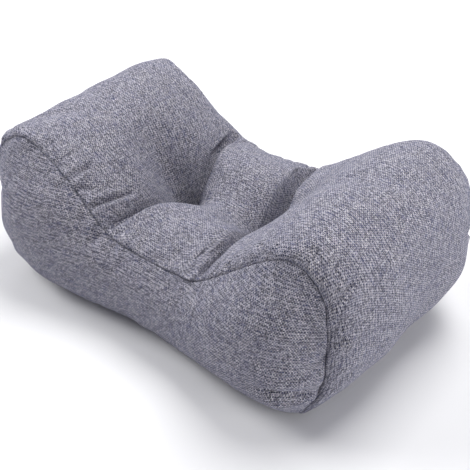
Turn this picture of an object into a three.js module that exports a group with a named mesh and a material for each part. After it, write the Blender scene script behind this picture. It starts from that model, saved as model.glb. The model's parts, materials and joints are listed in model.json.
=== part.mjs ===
// Lumbar cushion: a raised lobe at each end and a low waist pad between two sewn channels.
// Millimetres, +Z up. X runs along the cushion, Y across it, and the origin is under its middle.
// One filled body wears the wrap cloth that runs round its top, ends and base.
// A side panel is sewn into the body's side at the front (-Y) and at the back (+Y).
import * as THREE from "three";

// Cloth and sewing
const HALF_WIDTH = 105; // middle of the cushion to the side seam
const LOBE_DRAW_IN = 3; // how far the side seams come in at the top of the lobes
const PANEL_THICKNESS = 2; // side panel with its batting
const PANEL_CLEARANCE = 0.3; // between the panel and the body behind it
const PANEL_INSET = 1.8; // seam to the panel's edge
const RECESS_MARGIN = 0.8; // how far the recess that holds the panel reaches past its edge

// The side seam's outline, from the middle of the base round a lobe to the middle of the pad.
// crown is how far the wrap swells out past the seam half way across, steps how many facets
// lead to the next station. The lobes are filled by hand and differ a little.
const STATIONS = [
  { at: "base middle", steps: 15, right: { x: 0, z: 5, crown: 10 }, left: { x: 0, z: 5, crown: 10 } },
  { at: "base", steps: 12, right: { x: 94, z: 5, crown: 10 }, left: { x: 97, z: 5, crown: 10 } },
  { at: "base edge", steps: 2, right: { x: 154, z: 6, crown: 9 }, left: { x: 162, z: 6, crown: 9 } },
  { at: "heel", steps: 3, right: { x: 171, z: 19, crown: 13 }, left: { x: 178, z: 19, crown: 9 } },
  { at: "end", steps: 3, right: { x: 184, z: 62, crown: 22 }, left: { x: 192, z: 62, crown: 12 } },
  { at: "shoulder", steps: 3, right: { x: 179, z: 122, crown: 23 }, left: { x: 189, z: 122, crown: 12 } },
  { at: "crest edge", steps: 3, right: { x: 163, z: 147, crown: 24 }, left: { x: 172, z: 144, crown: 12 } },
  { at: "crest", steps: 5, right: { x: 143, z: 153, crown: 24 }, left: { x: 150, z: 150, crown: 12 } },
  { at: "slope", steps: 12, right: { x: 116, z: 139, crown: 18 }, left: { x: 108, z: 129, crown: 12 } },
  { at: "channel", steps: 7, right: { x: 57, z: 91, crown: 13 }, left: { x: 57, z: 91, crown: 12 } },
  { at: "pad edge", steps: 3, right: { x: 29, z: 84, crown: 12 }, left: { x: 29, z: 84, crown: 12 } },
  { at: "pad middle", steps: 0, right: { x: 0, z: 83, crown: 12 }, left: { x: 0, z: 83, crown: 12 } },
];

// Across the wrap, from one side seam to the other
const CROWN_FLATNESS = 2.2;
const CROWN_ROUNDNESS = 0.45;
const WRAP_FACETS = 20;

// The two sewn channels. Each is a crease from seam to seam that a tuft draws down in the middle.
const CREASE_DEPTH = 14; // takes up the crown of the wrap
const TUFT_DEPTH = 31; // below the seams, half way across
const TUFT_POWER = 1.9; // how pointed the pull of the tuft is
const TUFT_ROUNDING = 0.06; // share of the half width over which the point is rounded
const RIM_DEPTH = 4; // just inside the side seams
const RIM_FADE = 0.1; // share of the way in over which the crease leaves the seam
const PAD_WALL = { seam: 4.5, tuft: 14 }; // reach of a crease into the pad, and what a tuft adds
const LOBE_WALL = { seam: 7, tuft: 17 }; // the same up the lobe's slope
const PIT_DEPTH = 24; // of the pit at each tuft
const PIT_WIDTH = 19;
const TUFT_PULL = 3; // towards the middle of the pad
const TUFT_PULL_REACH = 38;

// The hollow that a tuft draws into the slope above it
const HOLLOW_DEPTH = 10;
const HOLLOW_AT = 26; // from the channel up the slope
const HOLLOW_REACH = 26;
const HOLLOW_WIDTH = 0.32; // share of the half width

// The pad between the channels has two pillows, with a valley between them from tuft to tuft.
const PILLOW = { front: 6, back: 12 };
const PILLOW_AT = 0.5; // share of the half width
const PILLOW_WIDTH = 0.3; // share of the half width
const PILLOW_BLEND = 0.3; // share of the half width over which front becomes back
const PILLOW_EDGE = 18; // from a channel in to a pillow's full height
const VALLEY_DEPTH = 6;
const VALLEY_WIDTH = 0.25; // share of the half width

// The side panels bulge most at the lobes and below their middle line.
const BULGE = { left: 31, waist: 20, right: 36 };
const BULGE_REACH = 150; // where the lobes' bulge is full
const BULGE_FLATNESS = 2.2;
const BULGE_POWER_HIGH = 1.2; // a gentle start under the upper seam
const BULGE_POWER_LOW = 0.8; // a full one over the lower seam
const LOW_SWELL = 0.15; // extra share of bulge near the base
const SIDE_RINGS = 5;
const SLOPE_STEP = 0.05; // share of the way in over which a face's slope is taken
const RING_CROWDING = 1.2; // rings lie closer together near the seam
const MIDDLE_LINE_REACH = 0.88; // how far the panel's middle line runs into the lobes

// Soft pushes where the filling sits fuller or slacker than the plain form.
const PUSHES = [
  { at: "back of left slope", x: -100, y: 100, z: 115, radius: 48, push: [0, -10, -2] },
  { at: "back of left crest", x: -145, y: 80, z: 160, radius: 50, push: [0, -2, 3] },
  { at: "front of left crest", x: -160, y: -60, z: 158, radius: 60, push: [0, 0, -6] },
  { at: "front left corner", x: -185, y: -105, z: 125, radius: 40, push: [1, 0, -2] },
  { at: "back of right crest", x: 150, y: 95, z: 160, radius: 55, push: [3, 2, 4] },
  { at: "back of right end", x: 195, y: 100, z: 80, radius: 70, push: [4, 3, 0] },
  { at: "front left heel", x: -165, y: -125, z: 40, radius: 70, push: [-4, -8, 0] },
  { at: "back of waist", x: 0, y: 105, z: 85, radius: 50, push: [0, -3, 0] },
  { at: "back of left channel", x: -60, y: 105, z: 88, radius: 80, push: [-10, 0, 0] },
  { at: "back of right channel", x: 52, y: 105, z: 88, radius: 90, push: [-17, 0, 0] },
  { at: "top of right end", x: 191, y: 94, z: 131, radius: 40, push: [3, 4, 3] },
  { at: "foot of right end", x: 203, y: 76, z: 61, radius: 40, push: [4, 2, -1] },
  { at: "back of left foot", x: -103, y: 117, z: 94, radius: 40, push: [1, 3, 2] },
  { at: "back of left slope edge", x: -118, y: 92, z: 138, radius: 40, push: [2, 3, 2] },
  { at: "front left top", x: -188, y: -103, z: 123, radius: 40, push: [-3, -2, 1] },
  { at: "front left end", x: -182, y: -122, z: 81, radius: 40, push: [2, -2, -4] },
  { at: "front left toe", x: -168, y: -130, z: 38, radius: 42, push: [3, 6, 2] },
  { at: "front base, left", x: -77, y: -118, z: 13, radius: 40, push: [0, -3, -1] },
  { at: "front base, right", x: 118, y: -124, z: 19, radius: 40, push: [0, -2, -2] },
  { at: "back of pad, left", x: -58, y: 102, z: 88, radius: 40, push: [0, 2, 2] },
  { at: "back of left crest, inner", x: -136, y: 97, z: 152, radius: 36, push: [-2, -4, -4] },
  { at: "front of left crest, outer", x: -182, y: -85, z: 145, radius: 36, push: [-1, -1, 3] },
  { at: "front base, far left", x: -112, y: -124, z: 16, radius: 36, push: [0, -3, -2] },
  { at: "foot of right end, middle", x: 200, y: 0, z: 40, radius: 50, push: [-2, 0, 1] },
  { at: "back of pad, right", x: 22, y: 102, z: 87, radius: 50, push: [0, 2, 2] },
];
const PUSH_FALLOFF = 1.5;

const CLOTH_COLOUR = 0x878794;
const SIDE_COLOUR = 0x7b7b8a;
const CLOTH_ROUGHNESS = 0.95;

const { lerp, smoothstep } = THREE.MathUtils;

// One closed loop of samples along the side seam, counter-clockwise seen from the front.
function seamLoop() {
  const right = STATIONS.map(({ steps, right: p }) => ({ ...p, steps }));
  const left = STATIONS.map(({ left: p }, i) => ({ ...p, x: -p.x, steps: STATIONS[i - 1]?.steps }));
  const stations = [...right.slice(0, -1), ...left.reverse().slice(0, -1)];
  const curve = new THREE.CatmullRomCurve3(
    stations.map((p) => new THREE.Vector3(p.x, p.crown, p.z)),
    true,
    "catmullrom",
    0.5,
  );
  const samples = [];
  stations.forEach(({ steps }, span) => {
    for (let step = 0; step < steps; step += 1) {
      const t = (span + step / steps) / stations.length;
      const point = curve.getPoint(t);
      const along = curve.getTangent(t).setY(0).normalize();
      samples.push({ x: point.x, z: point.z, crown: point.y, nx: along.z, nz: -along.x });
    }
  });
  return samples;
}

// The number of facets from the middle of the base to a station
function stepsTo(name) {
  const end = STATIONS.findIndex(({ at }) => at === name);
  return STATIONS.slice(0, end).reduce((count, { steps }) => count + steps, 0);
}

const LOOP = seamLoop();
const PAD_MIDDLE = stepsTo("pad middle");
const BASE_EDGE = stepsTo("base edge");
const CHANNEL = stepsTo("channel");

// Each sample's distance along the seam from its own lobe's channel, less than 0 on the pad
function measureFromChannels() {
  for (const side of [1, -1]) {
    let distance = 0;
    for (let k = CHANNEL; k > 0; k -= 1) {
      const [a, b] = [k, k - 1].map((n) => LOOP[(side * n + LOOP.length) % LOOP.length]);
      distance += Math.hypot(b.x - a.x, b.z - a.z);
      b.fromChannel = distance;
    }
    distance = 0;
    for (let k = CHANNEL; k < PAD_MIDDLE; k += 1) {
      const [a, b] = [k, k + 1].map((n) => LOOP[(side * n + LOOP.length) % LOOP.length]);
      distance -= Math.hypot(b.x - a.x, b.z - a.z);
      b.fromChannel = distance;
    }
    LOOP[(side * CHANNEL + LOOP.length) % LOOP.length].fromChannel = 0;
  }
}

measureFromChannels();

// The side panel's middle line: each sample over the base meets the one above it,
// and the samples round a lobe's end all meet at the line's last point.
function middleLine() {
  return LOOP.map((_, i) => {
    const fromBase = i <= PAD_MIDDLE ? i : i - LOOP.length;
    const fromPad = PAD_MIDDLE - i;
    const nearest = Math.abs(fromBase) < Math.abs(fromPad) ? fromBase : fromPad;
    const k = THREE.MathUtils.clamp(nearest, -BASE_EDGE, BASE_EDGE);
    const low = LOOP[(k + LOOP.length) % LOOP.length];
    const high = LOOP[PAD_MIDDLE - k];
    return { x: (MIDDLE_LINE_REACH * (low.x + high.x)) / 2, z: (low.z + high.z) / 2 };
  });
}

const MIDDLE = middleLine();

// The side seam's distance from the cushion's middle, at height z
function halfWidth(z) {
  return HALF_WIDTH - LOBE_DRAW_IN * smoothstep(z, 75, 145);
}

// The pushes of the filling, and the floor that the base is flattened on
function settle(point) {
  const settled = point.clone();
  for (const { x, y, z, radius, push } of PUSHES) {
    const near = Math.exp((-PUSH_FALLOFF * point.distanceToSquared(new THREE.Vector3(x, y, z))) / radius ** 2);
    settled.add(new THREE.Vector3(...push).multiplyScalar(near));
  }
  settled.z = Math.max(settled.z, 0);
  return settled;
}

// A bell of height 1 and the given width round 0
function bell(distance, width) {
  return Math.exp(-((distance / width) ** 2));
}

// How strongly a tuft pulls at v: 1 half way across and 0 at the seams
function tuftAt(v) {
  const rounded = Math.hypot(v, TUFT_ROUNDING) - TUFT_ROUNDING;
  return Math.max(1 - rounded / (1 - TUFT_ROUNDING), 0) ** TUFT_POWER;
}

// How far the channel lowers a point, fromChannel up the slope or less than 0 on the pad
function channelDepth(fromChannel, v, full, tuft) {
  const rim = RIM_DEPTH * v * v * smoothstep(1 - v * v, 0, RIM_FADE);
  const depth = CREASE_DEPTH * full + TUFT_DEPTH * tuft + rim;
  const wall = fromChannel < 0 ? PAD_WALL : LOBE_WALL;
  const crease = depth * Math.exp(-Math.abs(fromChannel) / (wall.seam + wall.tuft * tuft));
  return crease + PIT_DEPTH * bell(fromChannel, PIT_WIDTH) * bell(HALF_WIDTH * v, PIT_WIDTH);
}

// How far the pad's pillows and valley lift a point
function padRise(fromChannel, v) {
  const height = lerp(PILLOW.front, PILLOW.back, smoothstep(v, -PILLOW_BLEND, PILLOW_BLEND));
  const rise = height * bell(Math.abs(v) - PILLOW_AT, PILLOW_WIDTH) - VALLEY_DEPTH * bell(v, VALLEY_WIDTH);
  return rise * smoothstep(-fromChannel, 0, PILLOW_EDGE);
}

// A point of the wrap at a seam sample, v from -1 at the front seam to 1 at the back seam
function wrapPoint({ x, z, crown, nx, nz, fromChannel }, v) {
  const full = (1 - Math.abs(v) ** CROWN_FLATNESS) ** CROWN_ROUNDNESS;
  const tuft = tuftAt(v);
  const hollow = HOLLOW_DEPTH * bell(fromChannel - HOLLOW_AT, HOLLOW_REACH) * bell(v, HOLLOW_WIDTH);
  const swell = crown * full - hollow;
  const pull = Math.sign(x) * TUFT_PULL * tuft * bell(fromChannel, TUFT_PULL_REACH);
  const lift = padRise(fromChannel, v) - channelDepth(fromChannel, v, full, tuft);
  return new THREE.Vector3(x + nx * swell - pull, halfWidth(z) * v, z + nz * swell + lift);
}

// A point of a side panel's outer face, r from 0 at its edge to 1 on its middle line
function panelPoint(side, i, r) {
  const seam = LOOP[(i + LOOP.length) % LOOP.length];
  const middle = MIDDLE[(i + LOOP.length) % LOOP.length];
  const x = lerp(seam.x - seam.nx * PANEL_INSET, middle.x, r);
  const z = lerp(seam.z - seam.nz * PANEL_INSET, middle.z, r);
  const below = middle.z - seam.z;
  const size = lerp(BULGE.waist, x < 0 ? BULGE.left : BULGE.right, smoothstep(Math.abs(x), 0, BULGE_REACH));
  const power = lerp(BULGE_POWER_HIGH, BULGE_POWER_LOW, smoothstep(below, -40, 40));
  const low = 1 + LOW_SWELL * (1 - r) * smoothstep(below, 0, 60);
  const swell = size * low * (1 - (1 - r) ** BULGE_FLATNESS) ** power;
  return new THREE.Vector3(x, side * (halfWidth(z) + swell), z);
}

// The rings of a side face, from its edge to its middle line, set in by depth. Its edge
// reaches past the panel's by margin.
function sideRings(side, depth, margin) {
  const rings = [];
  for (let ring = 0; ring <= SIDE_RINGS; ring += 1) {
    const r = (ring / SIDE_RINGS) ** RING_CROWDING;
    const points = LOOP.map((_, i) => {
      const point = panelPoint(side, i, r);
      const normal = new THREE.Vector3(0, side, 0);
      if (ring < SIDE_RINGS) {
        const along = panelPoint(side, i + 1, r).sub(panelPoint(side, i - 1, r));
        const inwards = panelPoint(side, i, Math.min(r + SLOPE_STEP, 1)).sub(point).normalize();
        normal.crossVectors(along, inwards).normalize();
        normal.multiplyScalar(Math.sign(normal.y) * side);
        if (ring === 0) point.addScaledVector(inwards, -margin);
      }
      return settle(point.addScaledVector(normal, -depth));
    });
    rings.push(points);
  }
  return rings;
}

// A closed surface over a row of rings that runs from the front to the back. Its quads are
// split one way in the front half and the mirrored way in the back half, so that two faces
// that lie against each other have the same facets.
function closedSurface(rings) {
  const positions = [];
  const triangle = (a, b, c) => {
    if (a.equals(b) || b.equals(c) || c.equals(a)) return;
    for (const p of [a, b, c]) positions.push(p.x, p.y, p.z);
  };
  for (let k = 0; k + 1 < rings.length; k += 1) {
    const [near, far] = [rings[k], rings[k + 1]];
    near.forEach((_, i) => {
      const next = (i + 1) % near.length;
      const inBackHalf = 2 * k + 1 >= rings.length - 1;
      triangle(near[i], far[i], inBackHalf ? far[next] : near[next]);
      triangle(near[next], inBackHalf ? near[i] : far[i], far[next]);
    });
  }
  const geometry = new THREE.BufferGeometry();
  geometry.setAttribute("position", new THREE.Float32BufferAttribute(positions, 3));
  geometry.computeVertexNormals();
  return geometry;
}

function filledBody() {
  const depth = PANEL_THICKNESS + PANEL_CLEARANCE;
  const wrap = [];
  for (let facet = 0; facet <= WRAP_FACETS; facet += 1) {
    const v = Math.sin(Math.PI * (facet / WRAP_FACETS - 0.5));
    wrap.push(LOOP.map((seam) => settle(wrapPoint(seam, v))));
  }
  const front = sideRings(-1, depth, RECESS_MARGIN).reverse();
  const back = sideRings(1, depth, RECESS_MARGIN);
  return closedSurface([...front, ...wrap, ...back]);
}

function sidePanel(side) {
  const outer = sideRings(side, 0, 0);
  const inner = sideRings(side, PANEL_THICKNESS, 0);
  const rings = side < 0 ? [...outer.reverse(), ...inner] : [...inner.reverse(), ...outer];
  return closedSurface(rings);
}

function cloth(color) {
  return new THREE.MeshStandardMaterial({ color, roughness: CLOTH_ROUGHNESS, metalness: 0 });
}

function named(name, geometry, material) {
  const mesh = new THREE.Mesh(geometry, material);
  mesh.name = name;
  return mesh;
}

const cushion = new THREE.Group();
cushion.add(named("filled_body", filledBody(), cloth(CLOTH_COLOUR)));
cushion.add(named("side_panel_front", sidePanel(-1), cloth(SIDE_COLOUR)));
cushion.add(named("side_panel_back", sidePanel(1), cloth(SIDE_COLOUR)));

export default cushion;
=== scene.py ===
# Lumbar cushion: the dressed model, in metres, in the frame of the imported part.
import json
import math

import bpy
import numpy as np
from mathutils import Matrix, Vector

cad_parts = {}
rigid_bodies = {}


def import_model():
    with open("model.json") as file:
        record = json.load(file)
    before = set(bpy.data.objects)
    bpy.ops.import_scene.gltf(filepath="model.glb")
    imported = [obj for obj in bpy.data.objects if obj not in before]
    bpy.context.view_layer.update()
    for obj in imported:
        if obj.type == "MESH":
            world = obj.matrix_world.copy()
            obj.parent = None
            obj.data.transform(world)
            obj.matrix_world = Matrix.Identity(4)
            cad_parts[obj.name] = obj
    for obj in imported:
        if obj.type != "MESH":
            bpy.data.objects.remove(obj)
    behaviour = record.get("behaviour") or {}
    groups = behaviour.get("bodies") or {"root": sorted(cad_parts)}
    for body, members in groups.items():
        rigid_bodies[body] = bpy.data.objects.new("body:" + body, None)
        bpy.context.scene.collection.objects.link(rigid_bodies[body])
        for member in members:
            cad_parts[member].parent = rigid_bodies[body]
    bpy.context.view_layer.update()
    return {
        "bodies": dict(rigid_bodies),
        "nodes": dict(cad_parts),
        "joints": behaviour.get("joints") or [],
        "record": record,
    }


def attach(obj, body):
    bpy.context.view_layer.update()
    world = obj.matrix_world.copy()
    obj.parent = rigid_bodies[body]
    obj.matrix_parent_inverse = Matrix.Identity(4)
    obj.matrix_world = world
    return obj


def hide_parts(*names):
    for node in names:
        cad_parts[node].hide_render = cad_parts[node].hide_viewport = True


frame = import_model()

MM = 0.001  # the tables below are in millimetres

# The camera, from the photograph: where it stands round the cushion and what it looks at
CAMERA_AZIMUTH = 38.0
CAMERA_ELEVATION = 36.4
CAMERA_ROLL = 1.0
CAMERA_DISTANCE = 822.0
CAMERA_TARGET_HEIGHT = 60.0
CAMERA_OFFSET = (8.7, -6.0)  # right and up, across the view
FOCAL_PIXELS = 850.0
IMAGE_PIXELS = 470
SENSOR_MM = 36.0

# Studio. Columns of LIGHTS: name, place, size and power
FLOOR_COLOUR = (0.82, 0.82, 0.82, 1)
FLOOR_SIZE = 6
FLOOR_DROP = 0.0002  # keeps the floor just clear of the base
LIT_PLACE = (0, 0, 0.06)
ROOM_LIGHT = 0.27
ROOM_COLOUR = (0.93, 0.93, 1.07, 1)
LIGHTS = [
    ("top", (0.1, 0.5, 1.4), (0.8, 0.8), 18),
    ("left", (-1.1, -0.5, 1.0), (0.7, 0.7), 15),
    ("right end", (1.4, 0.1, 0.4), (0.7, 0.7), 9),
    ("back", (-0.9, 1.0, 0.4), (0.7, 0.7), 5),
]

# Cloth and sewing
HALF_WIDTH = 105.0  # middle of the cushion to the side seam
LOBE_DRAW_IN = 3.0
DRAW_IN_HEIGHTS = (75, 145)  # from none to all of it
PANEL_THICKNESS = 2.0
PANEL_CLEARANCE = 0.3
PANEL_INSET = 0.35  # seam to the panel's edge
RECESS_MARGIN = 0.5

# Weave
YARN_PITCH = 1.5
PICK_PITCH = 1.1
YARN_WANDER = 0.8  # yarns wander by this many pitches
WANDER_SCALE = 60.0
YARN_JITTER = 0.3  # and tremble by this many
JITTER_SCALE = 400.0  # waves of the trembling in a metre
YARN_SLUB = 18.0  # how many pitches long a thick or thin place is
PICK_SLUB = 6.0
YARN_STRIDE = 5.37  # how far apart neighbouring yarns are in the noise that shades them
OTHER_YARN_PALER = 0.6
YARN_SHADES = 0.5
SHADE_RANGE = (0.3, 0.7)
YARN_DARK = (0.012, 0.015, 0.055, 1)
YARN_PALE = (0.29, 0.28, 0.33, 1)
PICK_DARK = (0.38, 0.37, 0.41, 1)
PICK_PALE = (0.57, 0.545, 0.55, 1)
SLUB_COLOUR = (0.03, 0.04, 0.12, 1)
SLUBS_PER_PICK = 0.3
SLUB_RARITY = (0.93, 0.99)
SLUB_SHARE = 0.5
DRIFT_COLOUR = (0.13, 0.14, 0.3, 1)
DRIFT_SCALE = 90.0
DRIFT_RANGE = (0.35, 0.65)
DRIFT = 0.08
ON_TOP_EDGE = 0.15  # how sharply one yarn passes over another
# Painted shade in the gaps between the yarns: the heights over which it fades out, and how dark it gets
GAP_PAINTED_SHADE_HEIGHTS = (0.1, 0.6)
GAP_PAINTED_SHADE = 0.6
FIBRE_WIDTH = 0.7
FIBRE_LENGTH = 1.6
GRAIN = 0.6
BUMP = 1.0
BUMP_HEIGHT = 0.0007
SLUB_RELIEF = 0.6
ROUGHNESS = 0.95
GLOSS = 0.15
SHEEN = 0.25
SHEEN_ROUGHNESS = 0.5
SHEEN_TINT = (0.6, 0.66, 1.0, 1)

# The roll of the cloth into the side seams, puckers along them and lumps of the filling
SEAM_ROLL = 1.6
SEAM_ROLL_START = 1.2
SEAM_ROLL_END = 16.0
PUCKER = 0.35
PUCKER_AT = 5.0
PUCKER_SEEDS = {"wrap": 3, "front": 11, "back": 19}
PUCKER_WAVES = (14, 34.0, 9.0)  # how many, the longest and the shortest
LUMPS = 0.55
LUMP_SEED = 5
LUMP_WAVES = (26, 95.0, 38.0)
LUMP_FADE = 30  # lumps fade out this near the seams

# The cloth's simulation under the filling's pressure. Passes are of averaging with the neighbours
CLOTH_QUALITY = 5
CLOTH_MASS = 0.3
CLOTH_STIFFNESS = 12.0
CLOTH_SHEAR = 5
CLOTH_BEND = 0.2
FILLING_PRESSURE = 4.0
CALM_PASSES = 60
LINE_END_CALM = 50.0  # no folds this near the ends of a side panel's middle line
SWELL_TAKEN_OFF = 0.85  # the form is already filled, so the broad swelling comes off again
SWELL_PASSES = (26, 72)
CLOTH_EASE = 0.012  # how much larger the cloth is cut than the form
CLOTH_FRAMES = 20
CLOTH_CAP = 5.0
CREASE_HOLD = 6.0  # the channels are held this far each side

# Creases. Columns: where it is, its face, its two ends, its width, its depth and its lips' height
CREASES = [
    ("left slope, upper", "wrap", (-101, -104, 122), (-97, -74, 132), 2.4, 5.4, 1.5),
    ("left slope, lower", "wrap", (-75, -103, 103), (-63, -58, 104), 2.5, 5.0, 1.5),
    ("left slope, high", "wrap", (-132, -101, 143), (-132, -86, 148), 2.0, 2.6, 0.9),
    ("left slope, middle", "wrap", (-116, -101, 137), (-112, -82, 140), 2.2, 2.4, 0.7),
    ("left slope, between", "wrap", (-86, -104, 115), (-81, -84, 117), 3.0, 1.6, 0.5),
    ("left crest corner", "wrap", (-169, -104, 145), (-164, -94, 154), 1.8, 2.2, 0.6),
    ("right slope, upper", "wrap", (81, -103, 113), (84, -95, 122), 2.2, 3.6, 1.1),
    ("right slope, lower", "wrap", (70, -105, 103), (69, -93, 109), 2.2, 3.2, 1.0),
    ("right crest", "wrap", (111, -99, 143), (109, -88, 145), 2.2, 3.2, 1.0),
    ("back of left channel", "wrap", (-69, 48, 90), (-73, 97, 96), 2.2, 6.0, 1.6),
    ("right end, upper", "wrap", (181, -104, 111), (189, -94, 118), 2.2, 2.6, 0.8),
    ("right crest hollow", "wrap", (96, 5, 143), (185, -36, 155), 15, 2.6, 0),
    ("front of left channel", "front", (-66, -121, 78), (-55, -107, 89), 3.5, 2.2, 0.4),
    ("front right corner fold", "front", (134, -139, 45), (187, -106, 50), 5.6, 7.2, 2.4),
    ("front right corner fold, past the seam", "wrap", (185, -104, 50), (196, -78, 54), 4.6, 3.0, 1.0),
]
CREASE_FADE = 0.35  # the share of a crease's length at each end over which it fades
CREASE_LEAST = 0.15
LIP_AT = 2.4  # widths of the crease from its line
LIP_WIDTH = 1.3
CREASE_OVERRUN = 0.02

# The side seam's outline, from the middle of the base round a lobe to the middle of the pad.
# Columns: station, facets to the next one, then x, z and crown of the right and the left lobe
STATIONS = [
    ("base middle", 15, (0, 5, 10), (0, 5, 10)),
    ("base", 12, (94, 5, 10), (97, 5, 10)),
    ("base edge", 2, (154, 6, 9), (162, 6, 9)),
    ("heel", 3, (171, 19, 13), (178, 19, 9)),
    ("end", 3, (184, 62, 22), (192, 62, 12)),
    ("shoulder", 3, (179, 122, 23), (189, 122, 12)),
    ("crest edge", 3, (163, 147, 24), (172, 144, 12)),
    ("crest", 5, (143, 153, 24), (150, 150, 12)),
    ("slope", 12, (116, 139, 18), (108, 129, 12)),
    ("channel", 7, (57, 91, 13), (57, 91, 12)),
    ("pad edge", 3, (29, 84, 12), (29, 84, 12)),
    ("pad middle", 0, (0, 83, 12), (0, 83, 12)),
]
FINENESS = 4  # facets here for each one in the table
CROWN_FLATNESS = 2.2
CROWN_ROUNDNESS = 0.45
WRAP_FACETS = 96

# Channels: creases from seam to seam that a tuft draws down in the middle
CREASE_DEPTH = 14.0
TUFT_DEPTH = 31.0
TUFT_POWER = 1.9  # how pointed the pull of the tuft is
TUFT_ROUNDING = 0.06
RIM_DEPTH = 4.0
RIM_FADE = 0.1
PAD_WALL = (3.5, 15)  # how wide the wall is at the seam, and what the tuft adds
LOBE_WALL = (4.5, 19)
LOBE_WALL_POWER = 1.5
CUT_FRONT = 9.0  # the narrow cut where the channel is sewn, in front and behind
CUT_BACK = 8.0
CUT_CHANGE = (-0.5, 0.2)
CUT_WIDTH = 1.5
CUT_SHIFT = 4.6  # to the left of each channel's line
CUT_FADE = 0.12
PIT_DEPTH = 24.0  # the pit of each tuft
PIT_WIDTH = 19.0
TUFT_PULL = 3.0  # towards the middle of the pad
TUFT_PULL_REACH = 38.0
DRAW_DEPTH = 10.0  # the hollow a tuft draws into the slope above it
DRAW_AT = 26.0
DRAW_REACH = 26.0
DRAW_WIDTH = 0.32

# The pad's two pillows and the valley between the tufts
PILLOW_FRONT = 6.0
PILLOW_BACK = 12.0
PILLOW_AT = 0.5
PILLOW_WIDTH = 0.3
PILLOW_CHANGE = 0.3
PILLOW_EDGE = 14.0
VALLEY_DEPTH = 6.0
VALLEY_WIDTH = 0.25

# The side panels: how far they bulge at each lobe and at the waist, and their middle line
BULGE_LEFT = 31.0
BULGE_WAIST = 20.0
BULGE_RIGHT = 36.0
BULGE_REACH = 150.0
BULGE_FLATNESS = 2.2
BULGE_POWER_HIGH = 1.2
BULGE_POWER_LOW = 0.8
LOW_SWELL = 0.15
SIDE_RINGS = 24
RING_CROWDING = 1.4
MIDDLE_LINE_REACH = 0.88

# Pushes of the filling. Columns: where it is, its centre, its radius and its push
PUSHES = [
    ("back of left slope", (-100, 100, 115), 48, (0, -10, -2)),
    ("back of left crest", (-145, 80, 160), 50, (0, -2, 3)),
    ("front of left crest", (-160, -60, 158), 60, (0, 0, -6)),
    ("front left corner", (-185, -105, 125), 40, (1, 0, -2)),
    ("back of right crest", (150, 95, 160), 55, (3, 2, 4)),
    ("back of right end", (195, 100, 80), 70, (4, 3, 0)),
    ("front left heel", (-165, -125, 40), 70, (-4, -8, 0)),
    ("back of waist", (0, 105, 85), 50, (0, -3, 0)),
    ("back of left channel", (-60, 105, 88), 80, (-10, 0, 0)),
    ("back of right channel", (52, 105, 88), 90, (-17, 0, 0)),
    ("top of right end", (191, 94, 131), 40, (3, 4, 3)),
    ("foot of right end", (203, 76, 61), 40, (4, 2, -1)),
    ("back of left foot", (-103, 117, 94), 40, (1, 3, 2)),
    ("back of left slope edge", (-118, 92, 138), 40, (2, 3, 2)),
    ("front left top", (-188, -103, 123), 40, (-3, -2, 1)),
    ("front left end", (-182, -122, 81), 40, (2, -2, -4)),
    ("front left toe", (-168, -130, 38), 42, (3, 6, 2)),
    ("front base, left", (-77, -118, 13), 40, (0, -3, -1)),
    ("front base, right", (118, -124, 19), 40, (0, -2, -2)),
    ("back of pad, left", (-58, 102, 88), 40, (0, 2, 2)),
    ("back of left crest, inner", (-136, 97, 152), 36, (-2, -4, -4)),
    ("front of left crest, outer", (-182, -85, 145), 36, (-1, -1, 3)),
    ("front base, far left", (-112, -124, 16), 36, (0, -3, -2)),
    ("foot of right end, middle", (200, 0, 40), 50, (-2, 0, 1)),
    ("back of pad, right", (22, 102, 87), 50, (0, 2, 2)),
]
PUSH_FALLOFF = 1.5


def smooth(value, low=0.0, high=1.0):
    """A soft step from 0 at low to 1 at high."""
    t = np.clip((value - low) / (high - low), 0, 1)
    return t * t * (3 - 2 * t)


def mix(a, b, t):
    """Between a at t = 0 and b at t = 1."""
    return a + (b - a) * t


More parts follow.
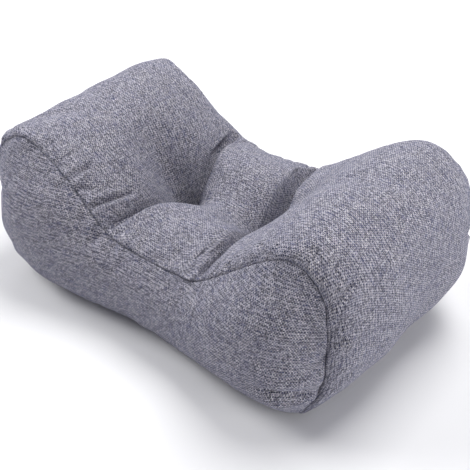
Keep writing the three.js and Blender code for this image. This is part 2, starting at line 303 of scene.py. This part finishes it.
class Seam:
    """The side seam's loop of samples, counter-clockwise seen from the front."""

    def __init__(self, fineness):
        right = [(*row[2], row[1]) for row in STATIONS]
        left = [(-row[3][0], *row[3][1:], STATIONS[i - 1][1]) for i, row in enumerate(STATIONS)]
        rows = np.array(right[:-1] + left[::-1][:-1], float)
        steps = (rows[:, 3] * fineness).astype(int)
        a, b, c, d = (np.roll(rows[:, :3], k, 0) for k in (1, 0, -1, -2))
        span = np.repeat(np.arange(len(rows)), steps)
        t = np.concatenate([np.arange(n) / n for n in steps])[:, None]
        a, b, c, d = a[span], b[span], c[span], d[span]
        p = 0.5 * (2 * b + (c - a) * t + (2 * a - 5 * b + 4 * c - d) * t**2 + (3 * b - a - 3 * c + d) * t**3)
        g = 0.5 * ((c - a) + 2 * (2 * a - 5 * b + 4 * c - d) * t + 3 * (3 * b - a - 3 * c + d) * t**2)
        self.x, self.z, self.crown = p.T
        size = np.hypot(g[:, 0], g[:, 1])
        self.nx, self.nz = g[:, 1] / size, -g[:, 0] / size
        self.count = len(p)
        link = np.hypot(np.roll(self.x, -1) - self.x, np.roll(self.z, -1) - self.z)
        self.along = np.concatenate([[0], np.cumsum(link)[:-1]])
        self.length = link.sum()
        self.base_edge = self.steps_to("base edge", fineness)
        self.pad_middle = self.steps_to("pad middle", fineness)
        self.channel = self.steps_to("channel", fineness)
        self.crest = self.steps_to("crest", fineness)
        right_channel = self.along[self.channel]
        left_channel = self.along[self.count - self.channel]
        self.from_channel = np.where(
            np.arange(self.count) <= self.pad_middle, right_channel - self.along, self.along - left_channel
        )
        self.middle_x, self.middle_z = self.middle_line()

    @staticmethod
    def steps_to(name, fineness):
        """How many samples lie before a station of the right lobe."""
        end = [row[0] for row in STATIONS].index(name)
        return fineness * sum(row[1] for row in STATIONS[:end])

    def middle_line(self):
        """Where each sample meets the panel's middle line."""
        i = np.arange(self.count)
        from_base = np.where(i <= self.pad_middle, i, i - self.count)
        from_pad = self.pad_middle - i
        nearest = np.where(np.abs(from_base) < np.abs(from_pad), from_base, from_pad)
        k = np.clip(nearest, -self.base_edge, self.base_edge)
        low, high = k % self.count, self.pad_middle - k
        x = MIDDLE_LINE_REACH * (self.x[low] + self.x[high]) / 2
        return x, (self.z[low] + self.z[high]) / 2


def half_width(z):
    """From the middle of the cushion to its side seam, at a height."""
    return HALF_WIDTH - LOBE_DRAW_IN * smooth(z, *DRAW_IN_HEIGHTS)


def settle(points):
    """The pushes of the filling, and the floor that flattens the base."""
    settled = points.copy()
    for _, centre, radius, push in PUSHES:
        near = np.exp(-PUSH_FALLOFF * ((points - centre) ** 2).sum(-1) / radius**2)
        settled += near[..., None] * np.array(push, float)
    settled[..., 2] = np.maximum(settled[..., 2], 0)
    return settled


def wrap_surface(seam, v):
    """The wrap's points, a row for each v from -1 at the front seam to 1 at the back seam."""
    v = v[:, None]
    lobe = seam.from_channel
    round_v = np.sqrt(v**2 + TUFT_ROUNDING**2) - TUFT_ROUNDING
    tuft = (1 - np.clip(round_v / (1 - TUFT_ROUNDING), 0, 1)) ** TUFT_POWER
    full = (1 - np.abs(v) ** CROWN_FLATNESS) ** CROWN_ROUNDNESS
    on_pad = smooth(-lobe, 0, PILLOW_EDGE)

    rim = RIM_DEPTH * v**2 * smooth(1 - v**2, 0, RIM_FADE)
    depth = CREASE_DEPTH * full + TUFT_DEPTH * tuft + rim
    pad_wall = PAD_WALL[0] + PAD_WALL[1] * tuft
    lobe_wall = LOBE_WALL[0] + LOBE_WALL[1] * tuft**LOBE_WALL_POWER
    wall = np.where(lobe < 0, pad_wall, lobe_wall)
    channel = depth * np.exp(-np.abs(lobe) / wall)
    cut = mix(CUT_FRONT, CUT_BACK, smooth(v, *CUT_CHANGE)) * smooth(1 - np.abs(v), 0, CUT_FADE)
    channel = channel + cut * np.exp(-np.abs(lobe + CUT_SHIFT * np.sign(seam.x)) / CUT_WIDTH)
    channel = channel + PIT_DEPTH * np.exp(-(lobe**2) / PIT_WIDTH**2 - (HALF_WIDTH * v / PIT_WIDTH) ** 2)
    hollow = DRAW_DEPTH * np.exp(-(((lobe - DRAW_AT) / DRAW_REACH) ** 2) - (v / DRAW_WIDTH) ** 2)
    plump = mix(PILLOW_FRONT, PILLOW_BACK, smooth(v, -PILLOW_CHANGE, PILLOW_CHANGE))
    pillow = plump * np.exp(-(((np.abs(v) - PILLOW_AT) / PILLOW_WIDTH) ** 2))
    valley = VALLEY_DEPTH * np.exp(-((v / VALLEY_WIDTH) ** 2))

    pull = TUFT_PULL * tuft * np.exp(-((lobe / TUFT_PULL_REACH) ** 2))
    x = seam.x + seam.nx * (seam.crown * full - hollow) - np.sign(seam.x) * pull
    z = seam.z + seam.nz * (seam.crown * full - hollow) + on_pad * (pillow - valley) - channel
    return np.stack([x, half_width(seam.z) * v, z], -1)


def panel_points(seam, side, r):
    """A ring of a side panel's outer face, r from 0 at its edge to 1 on its middle line."""
    x = mix(seam.x - seam.nx * PANEL_INSET, seam.middle_x, r)
    z = mix(seam.z - seam.nz * PANEL_INSET, seam.middle_z, r)
    below = seam.middle_z - seam.z
    lobe = np.where(x < 0, BULGE_LEFT, BULGE_RIGHT)
    size = mix(BULGE_WAIST, lobe, smooth(np.abs(x), 0, BULGE_REACH))
    power = mix(BULGE_POWER_HIGH, BULGE_POWER_LOW, smooth(below, -40, 40))
    low = 1 + LOW_SWELL * (1 - r) * smooth(below, 0, 60)
    swell = size * low * (1 - (1 - r) ** BULGE_FLATNESS) ** power
    return np.stack([x, side * (half_width(z) + swell), z], -1)


def outer_faces(seam, facets, rings):
    """The cushion's skin as grids of rings: the wrap across, and each side face from its edge in."""
    v = np.sin(np.pi * (np.arange(facets + 1) / facets - 0.5))
    shares = (np.arange(rings + 1) / rings) ** RING_CROWDING
    return {
        "wrap": settle(wrap_surface(seam, v)),
        "front": settle(np.array([panel_points(seam, -1, r) for r in shares])),
        "back": settle(np.array([panel_points(seam, 1, r) for r in shares])),
    }


def outward(name, grid):
    """Unit normals of a grid of rings, from its neighbours."""
    along = np.roll(grid, -1, 1) - np.roll(grid, 1, 1)
    normal = np.cross(np.gradient(grid, axis=0), along)
    normal /= np.maximum(np.linalg.norm(normal, axis=2, keepdims=True), 1e-9)
    if name == "front":
        normal = -normal
    if name != "wrap":
        normal[-1] = (0, 1 if name == "back" else -1, 0)
    return normal


def from_seam(name, grid):
    """How far each point lies from the nearest side seam over the cloth."""
    steps = np.linalg.norm(np.diff(grid, axis=0), axis=2)
    reach = np.concatenate([np.zeros((1, grid.shape[1])), np.cumsum(steps, 0)])
    return np.minimum(reach, reach[-1] - reach) if name == "wrap" else reach


def waves(places, seed, count, longest, shortest):
    """Seeded waves over points or lengths, of about unit size."""
    chance = np.random.default_rng(seed)
    places = places[..., None] if places.ndim < 3 else places
    total = 0
    for _ in range(count):
        facing = chance.normal(size=places.shape[-1])
        facing /= np.linalg.norm(facing)
        pitch = shortest * (longest / shortest) ** chance.random()
        total = total + np.sin(places @ facing * (2 * np.pi / pitch) + chance.random() * 2 * np.pi)
    return total * math.sqrt(2 / count)


def crease_lift(name, grid, flat):
    """How far a face's creases, drawn on its flat cloth, lower or lift each point along its normal."""
    lift = np.zeros(grid.shape[:2])
    for _, face, start, end, width, depth, lip in CREASES:
        if face != name:
            continue
        near = [np.linalg.norm(grid - np.array(p, float), axis=2).argmin() for p in (start, end)]
        start, end = flat.reshape(-1, 2)[near]
        line = end - start
        t = np.clip(((flat - start) @ line) / (line @ line), 0, 1)
        away = np.linalg.norm(flat - (start + t[..., None] * line), axis=2)
        fade = smooth(t, -CREASE_OVERRUN, CREASE_FADE) * (1 - smooth(t, 1 - CREASE_FADE, 1 + CREASE_OVERRUN))
        fade = np.maximum(fade, CREASE_LEAST)
        fold = -depth * np.exp(-((away / width) ** 1.5))
        fold = fold + lip * np.exp(-(((away - LIP_AT * width) / (LIP_WIDTH * width)) ** 2))
        lift += fade * fold
    return lift


def dress(seam, faces):
    """Adds the roll of the cloth into the seams, its puckers and creases, and the filling's lumps."""
    for name, grid in faces.items():
        normal = outward(name, grid)
        away = from_seam(name, grid)
        roll = SEAM_ROLL * (1 - np.exp(-away / SEAM_ROLL_START)) * np.exp(-away / SEAM_ROLL_END)
        ruffle = waves(seam.along, PUCKER_SEEDS[name], *PUCKER_WAVES)
        pucker = PUCKER * (away / PUCKER_AT) * np.exp(1 - away / PUCKER_AT) * ruffle
        share = np.zeros((1, 1)) if name == "wrap" else np.linspace(0, 1, len(grid))[:, None] ** 2
        lumps = LUMPS * waves(grid, LUMP_SEED, *LUMP_WAVES) * mix(smooth(away, 0, LUMP_FADE), 1, share)
        on_floor = smooth(grid[..., 2], 0.5, 10)
        flat = cloth_uv(seam, grid)[0] if name == "wrap" else panel_uv(seam, grid)
        lift = ((roll + pucker) * (1 - share) + lumps) * on_floor + crease_lift(name, grid, flat)
        grid += normal * lift[..., None]
        grid[..., 2] = np.maximum(grid[..., 2], 0)
    return faces


# Meshes


def cloth_uv(seam, wrap):
    """Where the two sides of the wrap's facets lie on its flat cloth: distances over it from its middle,
    and from the lobes' crests or the pad's middle."""
    steps = np.linalg.norm(np.diff(wrap, axis=0), axis=2)
    across = np.concatenate([np.zeros((1, seam.count)), np.cumsum(steps, 0)])
    across -= across[len(wrap) // 2]
    links = np.linalg.norm(np.roll(wrap, -1, 1) - wrap, axis=2)
    ends = np.cumsum(links, 1)
    i = np.arange(seam.count)
    zero = np.where(i < seam.channel, seam.crest, seam.count - seam.crest)
    zero[seam.channel : seam.count - seam.channel] = seam.pad_middle
    ends -= (ends - links)[:, zero]
    return np.stack([across, ends - links], -1), np.stack([np.roll(across, -1, 1), ends], -1)


def panel_uv(seam, rings):
    """Where a panel's points lie on its flat cloth: distances over the bulge from its middle line."""
    end = rings[-1][:, [0, 2]]
    flat = rings[:, :, [0, 2]] - end
    steps = np.linalg.norm(np.diff(rings[::-1], axis=0), axis=2)
    arc = np.concatenate([np.zeros((1, seam.count)), np.cumsum(steps, 0)])[::-1]
    reach = np.maximum(np.linalg.norm(flat, axis=2, keepdims=True), 1e-6)
    return (end + flat * arc[..., None] / reach)[..., ::-1]


def joined(rings):
    """Which points to keep where points of the rings coincide, and the kept one of each."""
    keys = np.round(rings.reshape(-1, 3), 3)
    used, index = np.unique(keys, axis=0, return_index=True, return_inverse=True)[1:]
    return used, index.ravel()


def closed_piece(name, rings, near_uv=None, far_uv=None):
    """A closed mesh over rings from the front to the back, its facets' two sides laid on flat cloth."""
    rows, count = rings.shape[:2]
    used, index = joined(rings)
    row, i = np.meshgrid(np.arange(rows - 1), np.arange(count), indexing="ij")
    j = (i + 1) % count
    corners = np.stack([row * count + i, (row + 1) * count + i, (row + 1) * count + j, row * count + j], -1)
    near_uv = np.zeros((rows, count, 2)) if near_uv is None else near_uv
    far_uv = np.roll(near_uv, -1, 1) if far_uv is None else far_uv
    corner_uv = np.stack([near_uv[:-1], near_uv[1:], far_uv[1:], far_uv[:-1]], 2)
    faces, face_uv = [], []
    for quad, places in zip(corners.reshape(-1, 4), corner_uv.reshape(-1, 4, 2)):
        kept = [k for k in range(4) if index[quad[k]] != index[quad[k - 1]]]
        if len(kept) > 2:
            faces.append([index[quad[k]] for k in kept])
            face_uv.extend(places[k] for k in kept)
    mesh = bpy.data.meshes.new(name)
    mesh.from_pydata((rings.reshape(-1, 3)[used] * MM).tolist(), [], faces)
    layer = mesh.uv_layers.new(name="Cloth")
    layer.data.foreach_set("uv", (np.array(face_uv) * MM).ravel())
    mesh.polygons.foreach_set("use_smooth", [True] * len(faces))
    mesh.update()
    piece = bpy.data.objects.new(name, mesh)
    bpy.context.scene.collection.objects.link(piece)
    return piece


class Graph:
    """Short calls for the nodes of a material."""

    def __init__(self, material):
        self.tree = material.node_tree

    def node(self, kind, inputs=(), **settings):
        made = self.tree.nodes.new(f"ShaderNode{kind}")
        for name, value in settings.items():
            setattr(made, name, value)
        for name, value in dict(inputs).items():
            if isinstance(value, bpy.types.NodeSocket):
                self.tree.links.new(value, made.inputs[name])
            else:
                made.inputs[name].default_value = value
        return made

    def math(self, operation, *values):
        return self.node("Math", dict(enumerate(values)), operation=operation).outputs[0]

    def join(self, x, y, z=0.0):
        return self.node("CombineXYZ", {"X": x, "Y": y, "Z": z}).outputs[0]

    def noise(self, place, scale=1.0, detail=0.0):
        return self.node("TexNoise", {"Vector": place, "Scale": scale, "Detail": detail}).outputs["Fac"]

    def cell(self, place):
        return self.node("TexWhiteNoise", {"Vector": place}).outputs["Value"]

    def remap(self, value, low, high, to_low=0.0, to_high=1.0):
        ranges = {"Value": value, 1: low, 2: high, 3: to_low, 4: to_high}
        return self.node("MapRange", ranges, interpolation_type="SMOOTHSTEP").outputs[0]

    def blend(self, share, a, b, mode="MIX"):
        made = self.node("Mix", data_type="RGBA", blend_type=mode)
        for socket, value in ((made.inputs["Factor"], share), (made.inputs[6], a), (made.inputs[7], b)):
            if isinstance(value, bpy.types.NodeSocket):
                self.tree.links.new(value, socket)
            else:
                socket.default_value = value
        return made.outputs[2]


def woven_cloth():
    """Plain weave of dark blue and paler yarns by turns along the cushion and pale picks across it."""
    material = bpy.data.materials.new("cover_cloth")
    material.use_nodes = True
    g = Graph(material)
    shader = g.tree.nodes["Principled BSDF"]
    flat = g.node("SeparateXYZ", {0: g.node("UVMap", uv_map="Cloth").outputs[0]})
    spot = g.join(flat.outputs[0], flat.outputs[1])
    bend = g.math("MULTIPLY", g.noise(spot, WANDER_SCALE), YARN_WANDER)
    shake = g.node("TexNoise", {"Vector": spot, "Scale": JITTER_SCALE, "Detail": 1.0}).outputs["Color"]
    shake = g.node("SeparateXYZ", {0: shake}).outputs
    across = g.math("ADD", g.math("DIVIDE", flat.outputs[0], YARN_PITCH * MM), bend)
    across = g.math("ADD", across, g.math("MULTIPLY", shake[0], YARN_JITTER))
    along = g.math("ADD", g.math("DIVIDE", flat.outputs[1], PICK_PITCH * MM), bend)
    along = g.math("ADD", along, g.math("MULTIPLY", shake[1], YARN_JITTER))
    yarn, pick = g.math("FLOOR", across), g.math("FLOOR", along)

    # How dark each yarn is: every other one along the cushion, and changing slowly along each
    own_yarn, own_pick = g.math("MULTIPLY", yarn, YARN_STRIDE), g.math("MULTIPLY", pick, YARN_STRIDE)
    slow_yarn = g.noise(g.join(own_yarn, g.math("MULTIPLY", along, 1 / YARN_SLUB)), 1.0, 2.0)
    slow_pick = g.noise(g.join(g.math("MULTIPLY", across, 1 / PICK_SLUB), own_pick), 1.0, 2.0)
    paler = g.math("MULTIPLY", g.math("FLOORED_MODULO", yarn, 2.0), OTHER_YARN_PALER)
    yarn_shade = g.math("ADD", paler, g.remap(slow_yarn, *SHADE_RANGE, 0.0, YARN_SHADES))
    yarn_colour = g.blend(yarn_shade, YARN_DARK, YARN_PALE)
    pick_colour = g.blend(g.remap(slow_pick, *SHADE_RANGE), PICK_DARK, PICK_PALE)

    # Which yarn is on top, the round of each yarn, painted shade in the gaps between the yarns, and the grain
    # of its fibres
    ridge = g.math("SINE", g.math("MULTIPLY", g.math("FRACT", across), math.pi))
    rib = g.math("SINE", g.math("MULTIPLY", g.math("FRACT", along), math.pi))
    odd = g.math("FLOORED_MODULO", g.math("ADD", yarn, pick), 2.0)
    yarn_height = g.math("MULTIPLY", ridge, g.math("ADD", g.math("MULTIPLY", odd, 0.5), 0.5))
    pick_height = g.math("MULTIPLY", rib, g.math("SUBTRACT", 1.0, g.math("MULTIPLY", odd, 0.5)))
    pick_on_top = g.remap(g.math("SUBTRACT", pick_height, yarn_height), -ON_TOP_EDGE, ON_TOP_EDGE)
    colour = g.blend(pick_on_top, yarn_colour, pick_colour)
    height = g.math("MAXIMUM", yarn_height, pick_height)
    fibre_size = (FIBRE_WIDTH * MM, FIBRE_LENGTH * MM, 1)
    fibre = g.node("VectorMath", {0: spot, 1: fibre_size}, operation="DIVIDE").outputs[0]
    fibre = g.cell(g.node("VectorMath", {0: fibre}, operation="FLOOR").outputs[0])
    # painted shade: the colour is darker where neither yarn is high, in the gaps between the yarns
    gap_painted_shade = g.remap(height, *GAP_PAINTED_SHADE_HEIGHTS, GAP_PAINTED_SHADE, 1.0)
    # the painted gap shade times the fibres' own grain, multiplied into the colour
    painted_gap_shade_and_grain = g.math("MULTIPLY", gap_painted_shade, g.remap(fibre, 0.0, 1.0, 1.0 - GRAIN, 1.0 + GRAIN))
    painted_gap_shade_and_grain_grey = g.node("CombineColor", {0: painted_gap_shade_and_grain, 1: painted_gap_shade_and_grain, 2: painted_gap_shade_and_grain}).outputs[0]
    colour = g.blend(1.0, colour, painted_gap_shade_and_grain_grey, "MULTIPLY")

    # Slubs of bare blue yarn and a slow drift of the dye
    stretch = g.math("FLOOR", g.math("MULTIPLY", along, SLUBS_PER_PICK))
    slub = g.remap(g.cell(g.join(yarn, stretch)), *SLUB_RARITY)
    colour = g.blend(g.math("MULTIPLY", slub, SLUB_SHARE), colour, SLUB_COLOUR)
    place = g.node("TexCoord").outputs["Object"]
    drift = g.remap(g.noise(place, DRIFT_SCALE, 2.0), *DRIFT_RANGE, 0.0, DRIFT)
    colour = g.blend(drift, colour, DRIFT_COLOUR)
    g.tree.links.new(colour, shader.inputs["Base Color"])

    relief = g.math("ADD", height, g.math("MULTIPLY", slow_yarn, SLUB_RELIEF))
    bump = g.node("Bump", {"Height": relief, "Strength": BUMP, "Distance": BUMP_HEIGHT})
    g.tree.links.new(bump.outputs[0], shader.inputs["Normal"])
    shader.inputs["Roughness"].default_value = ROUGHNESS
    shader.inputs["Specular IOR Level"].default_value = GLOSS
    shader.inputs["Sheen Weight"].default_value = SHEEN
    shader.inputs["Sheen Roughness"].default_value = SHEEN_ROUGHNESS
    shader.inputs["Sheen Tint"].default_value = SHEEN_TINT
    return material


def simulate_filling(seam, faces):
    """How far the pressure of the filling moves each point of the skin, with its seams held."""
    grids = [faces["front"][::-1], faces["wrap"][1:-1], faces["back"]]
    hold = []
    for name, grid in zip(("front", "wrap", "back"), grids):
        held = smooth(-np.abs(seam.from_channel), -CREASE_HOLD, 0) if name == "wrap" else np.zeros(seam.count)
        held = np.broadcast_to(held, grid.shape[:2]).copy()
        held[grid[..., 2] < 1] = 1
        hold.append(held)
    hold[0][-1] = hold[2][0] = 1
    rings = np.concatenate(grids)
    cloth = closed_piece("skin_trial", rings)
    used, index = joined(rings)
    held = np.concatenate(hold).ravel()[used]
    group = cloth.vertex_groups.new(name="held")
    for i, weight in enumerate(held):
        group.add([i], float(weight), "REPLACE")
    modifier = cloth.modifiers.new("Cloth", "CLOTH")
    settings = modifier.settings
    settings.quality = CLOTH_QUALITY
    settings.mass = CLOTH_MASS
    settings.tension_stiffness = settings.compression_stiffness = CLOTH_STIFFNESS
    settings.shear_stiffness = CLOTH_SHEAR
    settings.bending_stiffness = CLOTH_BEND
    settings.use_pressure = True
    settings.uniform_pressure_force = FILLING_PRESSURE
    settings.vertex_group_mass = "held"
    settings.shrink_min = -CLOTH_EASE
    settings.effector_weights.gravity = 0
    modifier.point_cache.frame_end = CLOTH_FRAMES
    for frame in range(1, CLOTH_FRAMES + 1):
        bpy.context.scene.frame_set(frame)
    shaped = cloth.evaluated_get(bpy.context.evaluated_depsgraph_get())
    moved = np.array([v.co for v in shaped.data.vertices]) / MM - rings.reshape(-1, 3)[used]
    bpy.context.scene.frame_set(1)
    bpy.data.objects.remove(cloth)
    size = np.linalg.norm(moved, axis=1, keepdims=True)
    moved *= CLOTH_CAP * np.tanh(size / CLOTH_CAP) / np.maximum(size, 1e-6)
    shift = moved[index].reshape(rings.shape)
    rows = len(faces["front"])
    front, wrap, back = shift[:rows][::-1], shift[rows - 1 : -rows + 1], shift[-rows:]
    kept = {}
    for name, part in (("front", front), ("wrap", wrap), ("back", back)):
        if name != "wrap":
            calm = np.linspace(0, 1, len(part))[:, None, None] ** 2
            part = mix(part, averaged(part, 0, CALM_PASSES), calm)
        part = part - SWELL_TAKEN_OFF * averaged(part, *SWELL_PASSES)
        if name != "wrap":
            for end in (seam.base_edge, -seam.base_edge):
                away = np.linalg.norm(faces[name] - faces[name][-1, end], axis=2, keepdims=True)
                part = part * smooth(away, 4, LINE_END_CALM)
        kept[name] = part
    return kept


def averaged(grid, across, along):
    """A grid after so many passes of averaging each point with its neighbours, each way."""
    for _ in range(along):
        grid = (2 * grid + np.roll(grid, 1, 1) + np.roll(grid, -1, 1)) / 4
    for _ in range(across):
        inner = (2 * grid[1:-1] + grid[:-2] + grid[2:]) / 4
        grid = np.concatenate([grid[:1], inner, grid[-1:]])
    return grid


def finer(grid):
    """A grid of twice the fineness, by a smooth curve through its points both ways."""
    half = (9 * (grid + np.roll(grid, -1, 1)) - np.roll(grid, 1, 1) - np.roll(grid, -2, 1)) / 16
    wide = np.stack([grid, half], 2).reshape(grid.shape[0], -1, 3)
    ends = np.concatenate([2 * wide[:1] - wide[1:2], wide, 2 * wide[-1:] - wide[-2:-1]])
    half = (9 * (ends[1:-2] + ends[2:-1]) - ends[:-3] - ends[3:]) / 16
    tall = np.zeros((2 * len(wide) - 1, *wide.shape[1:]))
    tall[::2], tall[1::2] = wide, half
    return tall


def build_pieces(cloth):
    """The filled body and its two side panels, each in its node's place."""
    seam = Seam(FINENESS)
    faces = outer_faces(seam, WRAP_FACETS, SIDE_RINGS)
    near_uv, far_uv = cloth_uv(seam, faces["wrap"])
    coarse = Seam(FINENESS // 2)
    shifts = simulate_filling(coarse, outer_faces(coarse, WRAP_FACETS // 2, SIDE_RINGS // 2))
    for name, shift in shifts.items():
        faces[name] += finer(shift)
    faces = dress(seam, faces)
    depth = PANEL_THICKNESS + PANEL_CLEARANCE
    normals = {name: outward(name, faces[name]) for name in ("front", "back")}
    recess = {}
    for name, normal in normals.items():
        recess[name] = faces[name] - normal * depth
        inwards = faces[name][2] - faces[name][0]
        inwards /= np.linalg.norm(inwards, axis=1, keepdims=True)
        recess[name][0] -= inwards * RECESS_MARGIN
        recess[name][..., 2] = np.maximum(recess[name][..., 2], 0)

    rings = np.concatenate([recess["front"][::-1], faces["wrap"], recess["back"]])
    front, back = panel_uv(seam, recess["front"])[::-1], panel_uv(seam, recess["back"])
    near_uv = np.concatenate([front, near_uv, back])
    far_uv = np.concatenate([np.roll(front, -1, 1), far_uv, np.roll(back, -1, 1)])
    body = closed_piece("cushion_body", rings, near_uv, far_uv)
    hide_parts("filled_body")
    pieces = [body]
    for name, normal in normals.items():
        outer = faces[name]
        inner = outer - normal * PANEL_THICKNESS
        inner[..., 2] = np.maximum(inner[..., 2], 0)
        first, last = (outer, inner) if name == "front" else (inner, outer)
        uv = np.concatenate([panel_uv(seam, first)[::-1], panel_uv(seam, last)])
        panel = closed_piece(f"cushion_side_{name}", np.concatenate([first[::-1], last]), uv)
        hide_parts(f"side_panel_{name}")
        pieces.append(panel)
    for piece in pieces:
        piece.data.materials.append(cloth)
        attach(piece, "root")


def add_camera():
    """The camera at the photograph's angle."""
    azimuth, elevation, roll = (math.radians(a) for a in (CAMERA_AZIMUTH, CAMERA_ELEVATION, CAMERA_ROLL))
    level = math.cos(elevation)
    back = Vector((math.sin(azimuth) * level, -math.cos(azimuth) * level, math.sin(elevation)))
    right = Vector((math.cos(azimuth), math.sin(azimuth), 0))
    up = back.cross(right)
    target = Vector((0, 0, CAMERA_TARGET_HEIGHT)) + right * CAMERA_OFFSET[0] + up * CAMERA_OFFSET[1]
    turned = right * math.cos(roll) + up * math.sin(roll)
    upright = up * math.cos(roll) - right * math.sin(roll)
    data = bpy.data.cameras.new("camera")
    data.sensor_width = SENSOR_MM
    data.lens = FOCAL_PIXELS / IMAGE_PIXELS * SENSOR_MM
    camera = bpy.data.objects.new("camera", data)
    bpy.context.scene.collection.objects.link(camera)
    rotation = Matrix((turned, upright, back)).transposed().to_4x4()
    camera.matrix_world = Matrix.Translation((target + back * CAMERA_DISTANCE) * MM) @ rotation
    bpy.context.scene.camera = camera


def add_area_light(name, place, size, power):
    """A rectangle of light, facing the middle of the cushion."""
    data = bpy.data.lights.new(name, "AREA")
    data.shape = "RECTANGLE"
    data.size, data.size_y = size
    data.energy = power
    light = bpy.data.objects.new(name, data)
    bpy.context.scene.collection.objects.link(light)
    light.location = place
    light.rotation_euler = (Vector(LIT_PLACE) - Vector(place)).to_track_quat("-Z", "Y").to_euler()


def add_studio():
    """A pale floor, a pale room and soft lights."""
    bpy.ops.mesh.primitive_plane_add(size=FLOOR_SIZE, location=(0, 0, -FLOOR_DROP))
    floor = bpy.context.object
    floor.name = "floor"
    material = bpy.data.materials.new("pale_floor")
    material.use_nodes = True
    shader = material.node_tree.nodes["Principled BSDF"]
    shader.inputs["Base Color"].default_value = FLOOR_COLOUR
    shader.inputs["Roughness"].default_value = 0.9
    floor.data.materials.append(material)
    world = bpy.data.worlds.new("studio")
    world.use_nodes = True
    world.node_tree.nodes["Background"].inputs["Color"].default_value = ROOM_COLOUR
    world.node_tree.nodes["Background"].inputs["Strength"].default_value = ROOM_LIGHT
    bpy.context.scene.world = world
    for name, place, size, power in LIGHTS:
        add_area_light(name, place, size, power)


build_pieces(woven_cloth())
add_camera()
add_studio()
bpy.context.scene.view_settings.view_transform = "Standard"
